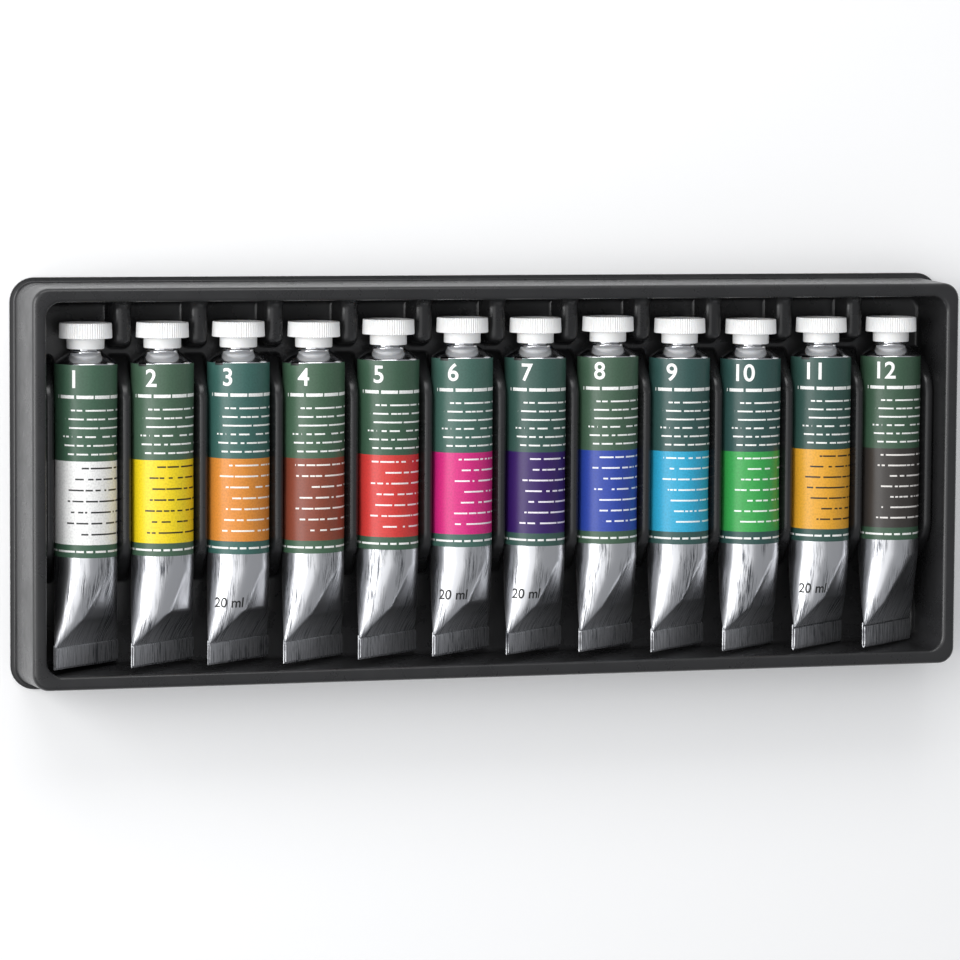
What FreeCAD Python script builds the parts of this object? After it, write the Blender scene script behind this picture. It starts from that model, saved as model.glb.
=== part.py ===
import FreeCAD, Part
import math
import os
import Sketcher

# Tempera paint set: twelve crimped tubes with screw caps, lying side by side in a formed tray.
# X runs along the row of tubes, Y along each tube towards its cap, Z up out of the open tray.
# Lengths are in millimetres and angles in degrees.

TUBE_COUNT = 12
CENTRE = (FreeCAD.Vector(0, 0, 0), FreeCAD.Vector(0, 0, 1))
ORIGIN = (-1, 1)
START = 1
END = 2
MIDDLE = 3
V_AXIS = -2

SIZES = {
    "tube_diameter": 19,
    "tube_wall": 0.4,
    "body_length": 62.9,
    "taper_length": 23,
    "tail_web": 3,
    "tail_swell": 1.4,
    "fold_height": 6,
    "fold_thick": 1.2,
    "fold_tilt": 39,
    "fold_gap": 0.57,
    "shoulder_rise": 2.6,
    "collar_diameter": 10,
    "collar_rise": 1.2,
    "nozzle_diameter": 8.6,
    "nozzle_bore": 5,
    "nozzle_reach": 4.85,
    "cap_skirt_diameter": 11.3,
    "cap_skirt_height": 3.2,
    "cap_knob_diameter": 16,
    "cap_knob_height": 4.65,
    "cap_dish_diameter": 12.4,
    "cap_dish_depth": 0.8,
    "cap_fit": 0.3,
    "grip_grooves": 20,
    "grip_depth": 0.5,
    "grip_width": 1.1,
    "seal_thick": 0.8,
    "seal_gap": 0.1,
    "paint_gap": 0.2,
    "sheet_wall": 0.8,
    "wall_draft": 2,
    "rim_land": 4.2,
    "rim_corner": 5,
    "well_corner": 4.5,
    "rim_round": 1.4,
    "flange_reach": 1.5,
    "floor_gap": 2.4,
    "lid_gap": 2.5,
    "tube_clearance": 0.3,
    "rib_clearance": 0.35,
    "side_clearance": 2.3,
    "tail_room": 1.1,
    "cap_room": 6.95,
    "tail_drop": 1,
    "rib_start": 30.5,
    "rib_length": 58,
    "rib_over_axis": 4,
    "rib_draft": 7,
    "rib_end_slope": 55,
    "rib_round": 1.1,
    "lug_reach": 13.6,
    "lug_clearance": 1.1,
    "lug_under_axis": 1,
    "lug_draft": 4,
    "lug_round": 2,
}

# How far each tube lies from the tail wall of the tray, beyond the tail room.
TUBE_SHIFTS = [0.45, 0.5, 0.55, 0.3, 0.85, 1.2, 0.95, 1.15, 0.45, 0.0, 0.3, 0.3]

doc = FreeCAD.newDocument("PaintSet")
sheet = doc.addObject("Spreadsheet::Sheet", "Sizes")


def fill_sheet():
    rows = list(SIZES.items())
    for number, shift in enumerate(TUBE_SHIFTS, 1):
        rows.append(("tube_shift_%02d" % number, shift))
    for row, (alias, size) in enumerate(rows, 1):
        sheet.set("A%d" % row, alias)
        sheet.set("B%d" % row, str(size))
        sheet.setAlias("B%d" % row, alias)
    doc.recompute()


fill_sheet()

# Derived sizes, as expressions on the sheet.
FOLD_FLAT = "pi * (Sizes.tube_diameter - Sizes.fold_thick) / 2"
SEAM_HALF = "Sizes.tube_wall"
PITCH = "(%s * cos(Sizes.fold_tilt) + Sizes.fold_thick + Sizes.fold_gap)" % FOLD_FLAT
TAPER_TOP = "(Sizes.fold_height + Sizes.taper_length)"
SHOULDER = "(%s + Sizes.body_length)" % TAPER_TOP
COLLAR = "(%s + Sizes.shoulder_rise)" % SHOULDER
COLLAR_TOP = "(%s + Sizes.collar_rise / 2)" % COLLAR
CAP_FOOT = "(%s + Sizes.collar_rise)" % COLLAR
HOLLOW_FOOT = "(Sizes.fold_height + Sizes.tail_web)"
NOZZLE_TOP = "(%s + Sizes.nozzle_reach)" % CAP_FOOT
SEAL_FOOT = "(%s + Sizes.seal_gap)" % NOZZLE_TOP
CAP_ROOF = "(%s + Sizes.seal_thick + Sizes.seal_gap)" % SEAL_FOOT
KNOB_FOOT = "(%s + Sizes.cap_skirt_height)" % CAP_FOOT
CAP_TOP = "(%s + Sizes.cap_knob_height)" % KNOB_FOOT
INNER_RADIUS = "(Sizes.tube_diameter / 2 - Sizes.tube_wall)"
PAINT_RADIUS = "(%s - Sizes.paint_gap)" % INNER_RADIUS
TAIL_HOLLOW = "(%s * sin(45) - Sizes.paint_gap)" % INNER_RADIUS
CAP_BORE = "(Sizes.nozzle_diameter + 2 * Sizes.cap_fit)"

FLOOR_TOP = "(Sizes.floor_gap + Sizes.sheet_wall)"
AXIS_HEIGHT = "(%s + Sizes.tube_clearance + Sizes.tube_diameter / 2)" % FLOOR_TOP
TRAY_HEIGHT = "(%s + Sizes.tube_diameter / 2 + Sizes.lid_gap)" % AXIS_HEIGHT
WELL_DEPTH = "(%s - %s)" % (TRAY_HEIGHT, FLOOR_TOP)
WELL_INSET = "(%s * tan(Sizes.wall_draft))" % WELL_DEPTH
WELL_LENGTH = "(%d * %s + 2 * Sizes.side_clearance)" % (TUBE_COUNT, PITCH)
WELL_WIDTH = "(Sizes.tail_room + %s + Sizes.cap_room)" % CAP_TOP
TRAY_LENGTH = "(%s + 2 * Sizes.rim_land)" % WELL_LENGTH
TRAY_WIDTH = "(%s + 2 * Sizes.rim_land)" % WELL_WIDTH
TAIL_LINE = "(Sizes.tail_room - %s / 2)" % WELL_WIDTH
SKIRT_FLARE = "(%s * tan(Sizes.wall_draft))" % TRAY_HEIGHT
RIB_TOP = "(%s + Sizes.rib_over_axis)" % AXIS_HEIGHT
RIB_HEIGHT = "(%s - %s)" % (RIB_TOP, FLOOR_TOP)
RIB_SIDE = "(Sizes.rib_clearance + Sizes.rib_over_axis * tan(Sizes.rib_draft))"
RIB_CREST = "(%s - Sizes.tube_diameter - 2 * %s)" % (PITCH, RIB_SIDE)
RIB_FOOT = "(%s + 2 * %s * tan(Sizes.rib_draft))" % (RIB_CREST, RIB_HEIGHT)
RIB_END = "(%s / tan(Sizes.rib_end_slope))" % RIB_HEIGHT
RIB_MIDDLE = "(%s + Sizes.rib_start + Sizes.rib_length / 2)" % TAIL_LINE
FIRST_GAP = "(%s * (1 - %d / 2))" % (PITCH, TUBE_COUNT)
LUG_TOP = "(%s - Sizes.lug_under_axis)" % AXIS_HEIGHT
LUG_WIDTH = "(%s - Sizes.cap_knob_diameter - 2 * Sizes.lug_clearance)" % PITCH
LUG_HEIGHT = "(%s - %s)" % (LUG_TOP, FLOOR_TOP)
LUG_SPREAD = "((%s - %s) * tan(Sizes.lug_draft))" % (AXIS_HEIGHT, FLOOR_TOP)
LUG_FOOT = "(%s + 2 * %s)" % (LUG_WIDTH, LUG_SPREAD)


def evaluate(expression):
    return float(sheet.evalExpression(expression))


def origin_feature(body, role):
    return next(f for f in body.Origin.OriginFeatures if f.Role == role)


def add_sketch(body, name, plane, x="0", y="0", z="0", turn="0"):
    sketch = body.newObject("Sketcher::SketchObject", name)
    sketch.AttachmentSupport = (origin_feature(body, plane), [""])
    sketch.MapMode = "FlatFace"
    for axis, expression in (("x", x), ("y", y), ("z", z)):
        sketch.setExpression("AttachmentOffset.Base." + axis, expression)
    sketch.setExpression("AttachmentOffset.Rotation.Angle", turn)
    return sketch


def dimension(sketch, kind, places, expression):
    number = sketch.addConstraint(Sketcher.Constraint(kind, *places, evaluate(expression)))
    sketch.setExpression("Constraints[%d]" % number, expression)


def rounded_rectangle(sketch, length, width, corner):
    x = evaluate(length) / 2
    y = evaluate(width) / 2
    r = evaluate(corner)
    corners = [(x - r, r - y, -90), (x - r, y - r, 0), (r - x, y - r, 90), (r - x, r - y, 180)]
    ends = [(r - x, -y), (x - r, -y), (x, r - y), (x, y - r)]
    ends += [(x - r, y), (r - x, y), (-x, y - r), (-x, r - y)]
    first = sketch.GeometryCount
    for side, (cx, cy, angle) in enumerate(corners):
        a, b = ends[2 * side], ends[2 * side + 1]
        sketch.addGeometry(Part.LineSegment(FreeCAD.Vector(*a), FreeCAD.Vector(*b)))
        circle = Part.Circle(FreeCAD.Vector(cx, cy), CENTRE[1], r)
        sketch.addGeometry(Part.ArcOfCircle(circle, math.radians(angle), math.radians(angle + 90)))
    for piece in range(8):
        following = first + (piece + 1) % 8
        sketch.addConstraint(Sketcher.Constraint("Tangent", first + piece, END, following, START))
    for arc in (3, 5, 7):
        sketch.addConstraint(Sketcher.Constraint("Equal", first + 1, first + arc))
    sketch.addConstraint(Sketcher.Constraint("Horizontal", first))
    sketch.addConstraint(Sketcher.Constraint("Vertical", first + 2))
    sketch.addConstraint(Sketcher.Constraint("Symmetric", first, START, first + 4, START, *ORIGIN))
    sketch.addConstraint(Sketcher.Constraint("Symmetric", first + 2, START, first + 6, START, *ORIGIN))
    dimension(sketch, "Radius", (first + 1,), corner)
    dimension(sketch, "DistanceX", (first + 6, START, first + 2, START), length)
    dimension(sketch, "DistanceY", (first, START, first + 4, START), width)


def rectangle(sketch, length, width):
    x = evaluate(length) / 2
    y = evaluate(width) / 2
    corners = [FreeCAD.Vector(*p) for p in ((-x, -y), (x, -y), (x, y), (-x, y))]
    for side in range(4):
        sketch.addGeometry(Part.LineSegment(corners[side], corners[(side + 1) % 4]))
    for side in range(4):
        sketch.addConstraint(Sketcher.Constraint("Coincident", side, END, (side + 1) % 4, START))
    for side in (0, 2):
        sketch.addConstraint(Sketcher.Constraint("Horizontal", side))
        sketch.addConstraint(Sketcher.Constraint("Vertical", side + 1))
    sketch.addConstraint(Sketcher.Constraint("Symmetric", 0, START, 2, START, *ORIGIN))
    dimension(sketch, "DistanceX", (0, START, 0, END), length)
    dimension(sketch, "DistanceY", (1, START, 1, END), width)


def flat_oval(sketch, flat, thick):
    # Two straight runs joined by half circles: the section of a flattened tube.
    x = evaluate(flat) / 2
    r = evaluate(thick) / 2
    sketch.addGeometry(Part.LineSegment(FreeCAD.Vector(-x, -r), FreeCAD.Vector(x, -r)))
    right = Part.Circle(FreeCAD.Vector(x, 0), CENTRE[1], r)
    sketch.addGeometry(Part.ArcOfCircle(right, -math.pi / 2, math.pi / 2))
    sketch.addGeometry(Part.LineSegment(FreeCAD.Vector(x, r), FreeCAD.Vector(-x, r)))
    left = Part.Circle(FreeCAD.Vector(-x, 0), CENTRE[1], r)
    sketch.addGeometry(Part.ArcOfCircle(left, math.pi / 2, 3 * math.pi / 2))
    for piece in range(4):
        sketch.addConstraint(Sketcher.Constraint("Tangent", piece, END, (piece + 1) % 4, START))
    sketch.addConstraint(Sketcher.Constraint("Horizontal", 0))
    sketch.addConstraint(Sketcher.Constraint("Symmetric", 0, START, 2, START, *ORIGIN))
    dimension(sketch, "DistanceX", (0, START, 0, END), flat)
    dimension(sketch, "Radius", (1,), "%s / 2" % thick)


def profile(sketch, points):
    # A closed outline through points given as pairs of expressions, none of them negative.
    places = [FreeCAD.Vector(evaluate(x), evaluate(y)) for x, y in points]
    first = sketch.GeometryCount
    count = len(points)
    for number in range(count):
        sketch.addGeometry(Part.LineSegment(places[number], places[(number + 1) % count]))
    for number in range(count):
        following = first + (number + 1) % count
        sketch.addConstraint(Sketcher.Constraint("Coincident", first + number, END, following, START))
    for number, (x, y) in enumerate(points, first):
        if x == "0":
            sketch.addConstraint(Sketcher.Constraint("PointOnObject", number, START, V_AXIS))
        else:
            dimension(sketch, "DistanceX", (*ORIGIN, number, START), x)
        dimension(sketch, "DistanceY", (*ORIGIN, number, START), y)


def add_circle(sketch, radius):
    sketch.addGeometry(Part.Circle(*CENTRE, evaluate(radius)))
    sketch.addConstraint(Sketcher.Constraint("Coincident", 0, MIDDLE, *ORIGIN))
    dimension(sketch, "Radius", (0,), radius)


def extrude(body, kind, name, sketch, length, draft="0", reverse=False):
    feature = body.newObject("PartDesign::" + kind, name)
    feature.Profile = sketch
    feature.setExpression("Length", length)
    feature.setExpression("TaperAngle", draft)
    feature.Reversed = reverse
    return feature


def revolve(body, name, sketch):
    feature = body.newObject("PartDesign::Revolution", name)
    feature.Profile = sketch
    feature.ReferenceAxis = (sketch, ["V_Axis"])
    feature.Angle = 360
    return feature


def loft(body, kind, name, first, last):
    feature = body.newObject("PartDesign::" + kind, name)
    feature.Profile = first
    feature.Sections = [last]
    feature.Ruled = True
    return feature


def repeat_in_row(body, name, originals, copies):
    pattern = body.newObject("PartDesign::LinearPattern", name)
    pattern.Originals = originals
    pattern.Direction = (origin_feature(body, "X_Axis"), [""])
    pattern.setExpression("Length", "%d * %s" % (copies - 1, PITCH))
    pattern.Occurrences = copies
    body.Tip = pattern
    doc.recompute()
    return pattern


def round_edges(body, name, radius, wanted):
    # Rounds the edges of the finished shape for which wanted(edge) is true.
    base = body.Tip
    names = ["Edge%d" % n for n, edge in enumerate(base.Shape.Edges, 1) if wanted(edge)]
    feature = body.newObject("PartDesign::Fillet", name)
    feature.Base = (base, names)
    feature.setExpression("Radius", radius)
    doc.recompute()
    return feature


def new_body(label):
    body = doc.addObject("PartDesign::Body", label)
    body.Label = label
    return body


def place_on_axis(body, number):
    # Stands a tube, or a piece that shares its axis, in its own place of the row.
    offset = number - (TUBE_COUNT + 1) / 2
    body.setExpression("Placement.Base.x", "%s * %s" % (offset, PITCH))
    body.setExpression("Placement.Base.y", "%s + Sizes.tube_shift_%02d" % (TAIL_LINE, number))
    body.setExpression("Placement.Base.z", AXIS_HEIGHT)


def tail_sketch(body, name):
    # A sketch that looks along the tilted fold: its X axis runs through the thickness of the tail.
    sketch = add_sketch(body, name, "XY_Plane")
    quarter_turn = FreeCAD.Rotation(FreeCAD.Vector(0, 1, 0), 90)
    sketch.AttachmentOffset = FreeCAD.Placement(FreeCAD.Vector(), quarter_turn)
    sketch.setExpression("AttachmentOffset.Rotation.Angle", "90 + Sizes.fold_tilt")
    return sketch


def both_sides(body, name, originals):
    pattern = body.newObject("PartDesign::PolarPattern", name)
    pattern.Originals = originals
    pattern.Axis = (origin_feature(body, "Y_Axis"), [""])
    pattern.Angle = 360
    pattern.Occurrences = 2
    body.Tip = pattern
    return pattern


def build_tube(number):
    body = new_body("tube_%02d" % number)
    flat_radius = "((%s + Sizes.fold_thick) / 2)" % FOLD_FLAT
    ceiling = "(%s - Sizes.tube_wall)" % SHOULDER
    wall = add_sketch(body, "WallProfile", "XY_Plane")
    profile(wall, [
        ("0", "Sizes.fold_height"),
        (flat_radius, "Sizes.fold_height"),
        ("Sizes.tube_diameter / 2 + Sizes.tail_swell", "Sizes.fold_height + Sizes.taper_length / 2"),
        ("Sizes.tube_diameter / 2", TAPER_TOP),
        ("Sizes.tube_diameter / 2", SHOULDER),
        ("Sizes.collar_diameter / 2", COLLAR),
        ("Sizes.collar_diameter / 2", COLLAR_TOP),
        ("Sizes.nozzle_diameter / 2", COLLAR_TOP),
        ("Sizes.nozzle_diameter / 2", NOZZLE_TOP),
        ("Sizes.nozzle_bore / 2", NOZZLE_TOP),
        ("Sizes.nozzle_bore / 2", ceiling),
        (INNER_RADIUS, ceiling),
        (INNER_RADIUS, TAPER_TOP),
        ("0", TAPER_TOP),
    ])
    revolve(body, "Wall", wall)

    # Pressing the flared tail flat leaves two slanted facets that meet at the fold.
    wedge = tail_sketch(body, "FacetProfile")
    profile(wedge, [
        (SEAM_HALF, "Sizes.fold_height"),
        ("Sizes.tube_diameter / 2", TAPER_TOP),
        ("Sizes.tube_diameter", TAPER_TOP),
        ("Sizes.tube_diameter", "Sizes.fold_height"),
    ])
    facet = extrude(body, "Pocket", "Facet", wedge, "2 * Sizes.tube_diameter")
    facet.Midplane = True
    narrowing = tail_sketch(body, "TailHollowProfile")
    profile(narrowing, [("0", HOLLOW_FOOT), (TAIL_HOLLOW, TAPER_TOP), ("0", TAPER_TOP)])
    hollow = extrude(body, "Pocket", "TailHollow", narrowing, "2 * %s" % TAIL_HOLLOW)
    hollow.Midplane = True
    both_sides(body, "Tail", [facet, hollow])

    fold = add_sketch(body, "FoldSection", "XZ_Plane", z="-Sizes.fold_height", turn="-Sizes.fold_tilt")
    flat_oval(fold, FOLD_FLAT, "Sizes.fold_thick")
    extrude(body, "Pad", "Fold", fold, "Sizes.fold_height")
    place_on_axis(body, number)
    return body


def build_paint(number):
    body = new_body("paint_%02d" % number)
    bottom = "(%s + Sizes.paint_gap)" % TAPER_TOP
    top = "(%s - Sizes.tube_wall - Sizes.paint_gap)" % SHOULDER
    fill = add_sketch(body, "FillProfile", "XY_Plane")
    profile(fill, [("0", bottom), (PAINT_RADIUS, bottom), (PAINT_RADIUS, top), ("0", top)])
    revolve(body, "Fill", fill)
    tail_half = "(%s - 2 * Sizes.paint_gap)" % TAIL_HOLLOW
    narrowing = tail_sketch(body, "TailFillProfile")
    profile(narrowing, [("0", "%s + Sizes.tail_web" % HOLLOW_FOOT), (tail_half, bottom), ("0", bottom)])
    tail = extrude(body, "Pad", "TailFill", narrowing, "2 * %s" % tail_half)
    tail.Midplane = True
    both_sides(body, "Tail", [tail])
    place_on_axis(body, number)
    return body


def build_cap(number):
    body = new_body("cap_%02d" % number)
    dish = "(%s - Sizes.cap_dish_depth)" % CAP_TOP
    outline = add_sketch(body, "CapProfile", "XY_Plane")
    profile(outline, [
        ("%s / 2" % CAP_BORE, CAP_FOOT),
        ("Sizes.cap_skirt_diameter / 2", CAP_FOOT),
        ("Sizes.cap_skirt_diameter / 2", KNOB_FOOT),
        ("Sizes.cap_knob_diameter / 2", KNOB_FOOT),
        ("Sizes.cap_knob_diameter / 2", CAP_TOP),
        ("Sizes.cap_dish_diameter / 2", CAP_TOP),
        ("Sizes.cap_dish_diameter / 2", dish),
        ("0", dish),
        ("0", CAP_ROOF),
        ("%s / 2" % CAP_BORE, CAP_ROOF),
    ])
    revolve(body, "Cap", outline)
    cut = add_sketch(body, "GripSection", "XZ_Plane", z="-%s" % KNOB_FOOT)
    reach = "(Sizes.cap_knob_diameter / 2)"
    root = "(%s - Sizes.grip_depth)" % reach
    middle = "(Sizes.grip_width)"
    profile(cut, [
        (middle, root),
        ("%s + Sizes.grip_width / 2" % middle, reach),
        ("%s - Sizes.grip_width / 2" % middle, reach),
    ])
    cut.setExpression("AttachmentOffset.Base.x", "-%s" % middle)
    groove = extrude(body, "Pocket", "Groove", cut, "Sizes.cap_knob_height")
    grip = body.newObject("PartDesign::PolarPattern", "Grip")
    grip.Originals = [groove]
    grip.Axis = (origin_feature(body, "Y_Axis"), [""])
    grip.Angle = 360
    grip.setExpression("Occurrences", "Sizes.grip_grooves")
    body.Tip = grip
    place_on_axis(body, number)
    return body


def build_seal(number):
    body = new_body("cap_seal_%02d" % number)
    disc = add_sketch(body, "SealSection", "XZ_Plane", z="-%s" % SEAL_FOOT)
    add_circle(disc, "(Sizes.nozzle_diameter / 2)")
    extrude(body, "Pad", "Seal", disc, "Sizes.seal_thick", reverse=True)
    place_on_axis(body, number)
    return body


def tapered_bar(sketch, width, length):
    # A straight bar with a round nose: its square back end lies on the sketch's X axis.
    x = evaluate(width) / 2
    y = evaluate(length) - x
    sketch.addGeometry(Part.LineSegment(FreeCAD.Vector(x, 0), FreeCAD.Vector(-x, 0)))
    sketch.addGeometry(Part.LineSegment(FreeCAD.Vector(-x, 0), FreeCAD.Vector(-x, -y)))
    nose = Part.Circle(FreeCAD.Vector(0, -y), CENTRE[1], x)
    sketch.addGeometry(Part.ArcOfCircle(nose, math.pi, 2 * math.pi))
    sketch.addGeometry(Part.LineSegment(FreeCAD.Vector(x, -y), FreeCAD.Vector(x, 0)))
    sketch.addConstraint(Sketcher.Constraint("Coincident", 0, END, 1, START))
    sketch.addConstraint(Sketcher.Constraint("Tangent", 1, END, 2, START))
    sketch.addConstraint(Sketcher.Constraint("Tangent", 2, END, 3, START))
    sketch.addConstraint(Sketcher.Constraint("Coincident", 3, END, 0, START))
    sketch.addConstraint(Sketcher.Constraint("Vertical", 1))
    sketch.addConstraint(Sketcher.Constraint("Symmetric", 0, START, 0, END, *ORIGIN))
    dimension(sketch, "DistanceX", (0, END, 0, START), width)
    dimension(sketch, "DistanceY", (1, END, 1, START), "%s - %s / 2" % (length, width))


def add_trough(body):
    # The floor is lower under the tails, which reach below the round bodies.
    wall_y = "(%s - %s / 2)" % (WELL_INSET, WELL_WIDTH)
    end_y = "(%s + %s + Sizes.tail_drop)" % (TAIL_LINE, TAPER_TOP)
    middle = "(%s + %s) / 2" % (wall_y, end_y)
    length = "(%s - 2 * %s)" % (WELL_LENGTH, WELL_INSET)
    width = "(%s - %s)" % (end_y, wall_y)
    corner = "(Sizes.well_corner - %s)" % WELL_INSET
    draft = "-Sizes.wall_draft"
    block = add_sketch(body, "TroughBlockOutline", "XY_Plane", y=middle, z=FLOOR_TOP)
    block_length = "%s + 2 * Sizes.sheet_wall" % length
    block_width = "%s + 2 * Sizes.sheet_wall" % width
    rounded_rectangle(block, block_length, block_width, "%s + Sizes.sheet_wall" % corner)
    block_depth = "Sizes.tail_drop + Sizes.sheet_wall"
    extrude(body, "Pad", "TroughBlock", block, block_depth, draft, reverse=True)
    trough = add_sketch(body, "TroughOutline", "XY_Plane", y=middle, z=FLOOR_TOP)
    rounded_rectangle(trough, length, width, corner)
    extrude(body, "Pocket", "Trough", trough, "Sizes.tail_drop", draft)


def add_ribs(body):
    foot_length = "(Sizes.rib_length + %s)" % RIB_END
    crest_length = "(Sizes.rib_length - %s)" % RIB_END
    left = "%s - %s / 2" % (FIRST_GAP, RIB_FOOT)
    start = "(%s - %s / 2)" % (RIB_MIDDLE, foot_length)
    section = add_sketch(body, "RibSection", "XZ_Plane", x=left, z="-%s" % start)
    profile(section, [
        ("0", FLOOR_TOP),
        (RIB_FOOT, FLOOR_TOP),
        ("(%s + %s) / 2" % (RIB_FOOT, RIB_CREST), RIB_TOP),
        ("(%s - %s) / 2" % (RIB_FOOT, RIB_CREST), RIB_TOP),
    ])
    rib = extrude(body, "Pad", "Rib", section, foot_length, reverse=True)
    ends = add_sketch(body, "RibEndProfile", "YZ_Plane", x=start, z=FIRST_GAP)
    profile(ends, [("0", FLOOR_TOP), (RIB_END, RIB_TOP), ("0", RIB_TOP)])
    profile(ends, [
        (foot_length, FLOOR_TOP),
        (foot_length, RIB_TOP),
        ("%s - %s" % (foot_length, RIB_END), RIB_TOP),
    ])
    slopes = extrude(body, "Pocket", "RibEnds", ends, RIB_FOOT)
    slopes.Midplane = True
    repeat_in_row(body, "Ribs", [rib, slopes], TUBE_COUNT - 1)

    # Half ribs on the side walls, backed by the middle of the wall's sheet.
    sections = []
    for level, width, length, name in ((FLOOR_TOP, RIB_FOOT, foot_length, "HalfRibFoot"),
                                       (RIB_TOP, RIB_CREST, crest_length, "HalfRibCrest")):
        inset = "((%s - %s) * tan(Sizes.wall_draft))" % (TRAY_HEIGHT, level)
        back = "(%s / 2 - %s + Sizes.sheet_wall / 2)" % (WELL_LENGTH, inset)
        front = "(%d / 2 * %s - %s / 2)" % (TUBE_COUNT, PITCH, width)
        middle = "(%s + %s) / 2" % (back, front)
        half = add_sketch(body, name, "XY_Plane", x=middle, y=RIB_MIDDLE, z=level)
        rectangle(half, "%s - %s" % (back, front), length)
        sections.append(half)
    half_rib = loft(body, "AdditiveLoft", "HalfRib", *sections)
    mirror = body.newObject("PartDesign::Mirrored", "HalfRibs")
    mirror.Originals = [half_rib]
    mirror.MirrorPlane = (origin_feature(body, "YZ_Plane"), [""])
    body.Tip = mirror
    doc.recompute()


def add_lugs(body):
    # Each lug leans in all round, so its back end starts behind the wall that it grows out of.
    lean = "(%s * tan(Sizes.lug_draft))" % LUG_HEIGHT
    back = "%s / 2 - %s + Sizes.sheet_wall + %s" % (WELL_WIDTH, WELL_INSET, lean)
    length = "(Sizes.lug_reach + %s - %s + Sizes.sheet_wall / 2 + %s)" % (LUG_SPREAD, WELL_INSET, lean)
    outline = add_sketch(body, "LugOutline", "XY_Plane", x=FIRST_GAP, y=back, z=FLOOR_TOP)
    tapered_bar(outline, LUG_FOOT, length)
    lug = extrude(body, "Pad", "Lug", outline, LUG_HEIGHT, "-Sizes.lug_draft")
    repeat_in_row(body, "Lugs", [lug], TUBE_COUNT - 1)


def add_hollows(body):
    # The formed sheet is hollow under each rib and lug.
    wall = "Sizes.sheet_wall"
    mouth = add_sketch(body, "RibMouth", "XY_Plane", x=FIRST_GAP, y=RIB_MIDDLE, z="Sizes.floor_gap")
    rectangle(mouth, "%s - 2 * %s" % (RIB_FOOT, wall), "Sizes.rib_length - %s - %s" % (RIB_END, wall))
    hollow = extrude(body, "Pocket", "RibHollow", mouth, RIB_HEIGHT, "-Sizes.rib_draft", reverse=True)
    repeat_in_row(body, "RibHollows", [hollow], TUBE_COUNT - 1)

    back = "%s / 2 - %s - %s" % (WELL_WIDTH, WELL_INSET, wall)
    length = "(Sizes.lug_reach + %s - %s - 2.5 * %s)" % (LUG_SPREAD, WELL_INSET, wall)
    mouth = add_sketch(body, "LugMouth", "XY_Plane", x=FIRST_GAP, y=back, z="Sizes.floor_gap")
    tapered_bar(mouth, "(%s - 2 * %s)" % (LUG_FOOT, wall), length)
    hollow = extrude(body, "Pocket", "LugHollow", mouth, LUG_HEIGHT, "-Sizes.lug_draft", reverse=True)
    repeat_in_row(body, "LugHollows", [hollow], TUBE_COUNT - 1)


def build_tray():
    body = new_body("tray")
    draft = "Sizes.wall_draft"
    wall = "Sizes.sheet_wall"
    base_length = "(%s + 2 * %s)" % (TRAY_LENGTH, SKIRT_FLARE)
    base_width = "(%s + 2 * %s)" % (TRAY_WIDTH, SKIRT_FLARE)
    base_corner = "(Sizes.rim_corner + %s)" % SKIRT_FLARE
    inner_length = "%s - 2 * %s" % (base_length, wall)
    inner_width = "%s - 2 * %s" % (base_width, wall)
    block_length = "%s + 2 * %s" % (WELL_LENGTH, wall)
    block_width = "%s + 2 * %s" % (WELL_WIDTH, wall)
    inside = "-%s" % draft

    rim = add_sketch(body, "RimOutline", "XY_Plane", z=TRAY_HEIGHT)
    rounded_rectangle(rim, TRAY_LENGTH, TRAY_WIDTH, "Sizes.rim_corner")
    extrude(body, "Pad", "Skirt", rim, TRAY_HEIGHT, draft, reverse=True)
    base = add_sketch(body, "BaseOutline", "XY_Plane")
    rounded_rectangle(base, inner_length, inner_width, base_corner)
    extrude(body, "Pocket", "SkirtHollow", base, "%s - %s" % (TRAY_HEIGHT, wall), inside, reverse=True)
    block = add_sketch(body, "WellBlockOutline", "XY_Plane", z=TRAY_HEIGHT)
    rounded_rectangle(block, block_length, block_width, "Sizes.well_corner + %s" % wall)
    extrude(body, "Pad", "WellBlock", block, "%s - Sizes.floor_gap" % TRAY_HEIGHT, inside, reverse=True)
    well = add_sketch(body, "WellOutline", "XY_Plane", z=TRAY_HEIGHT)
    rounded_rectangle(well, WELL_LENGTH, WELL_WIDTH, "Sizes.well_corner")
    extrude(body, "Pocket", "Well", well, WELL_DEPTH, inside)
    add_trough(body)
    add_ribs(body)
    add_lugs(body)

    rim_level = evaluate(TRAY_HEIGHT)
    rib_level = evaluate(RIB_TOP)
    lug_level = evaluate(LUG_TOP)
    last_rib = evaluate("(%d / 2 - 0.5) * %s" % (TUBE_COUNT, PITCH))
    cap_wall = evaluate("%s / 2 - Sizes.lug_reach / 4" % WELL_WIDTH)
    round_edges(body, "RimRound", "Sizes.rim_round", lambda e: lies_at(e, rim_level))
    round_edges(body, "RibRound", "Sizes.rib_round",
                lambda e: lies_at(e, rib_level) and abs(e.CenterOfMass.x) < last_rib)
    round_edges(body, "LugRound", "Sizes.lug_round",
                lambda e: lies_at(e, lug_level) and e.CenterOfMass.y < cap_wall)

    flange = add_sketch(body, "FlangeOutline", "XY_Plane")
    reach = "2 * Sizes.flange_reach"
    flange_corner = "%s + Sizes.flange_reach" % base_corner
    flange_length = "%s + %s" % (base_length, reach)
    flange_width = "%s + %s" % (base_width, reach)
    rounded_rectangle(flange, flange_length, flange_width, flange_corner)
    rounded_rectangle(flange, "%s - %s" % (base_length, wall), "%s - %s" % (base_width, wall), base_corner)
    extrude(body, "Pad", "Flange", flange, wall)
    add_hollows(body)
    return body


def lies_at(edge, height):
    box = edge.BoundBox
    return abs(box.ZMin - height) < 1e-4 and abs(box.ZMax - height) < 1e-4


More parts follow.
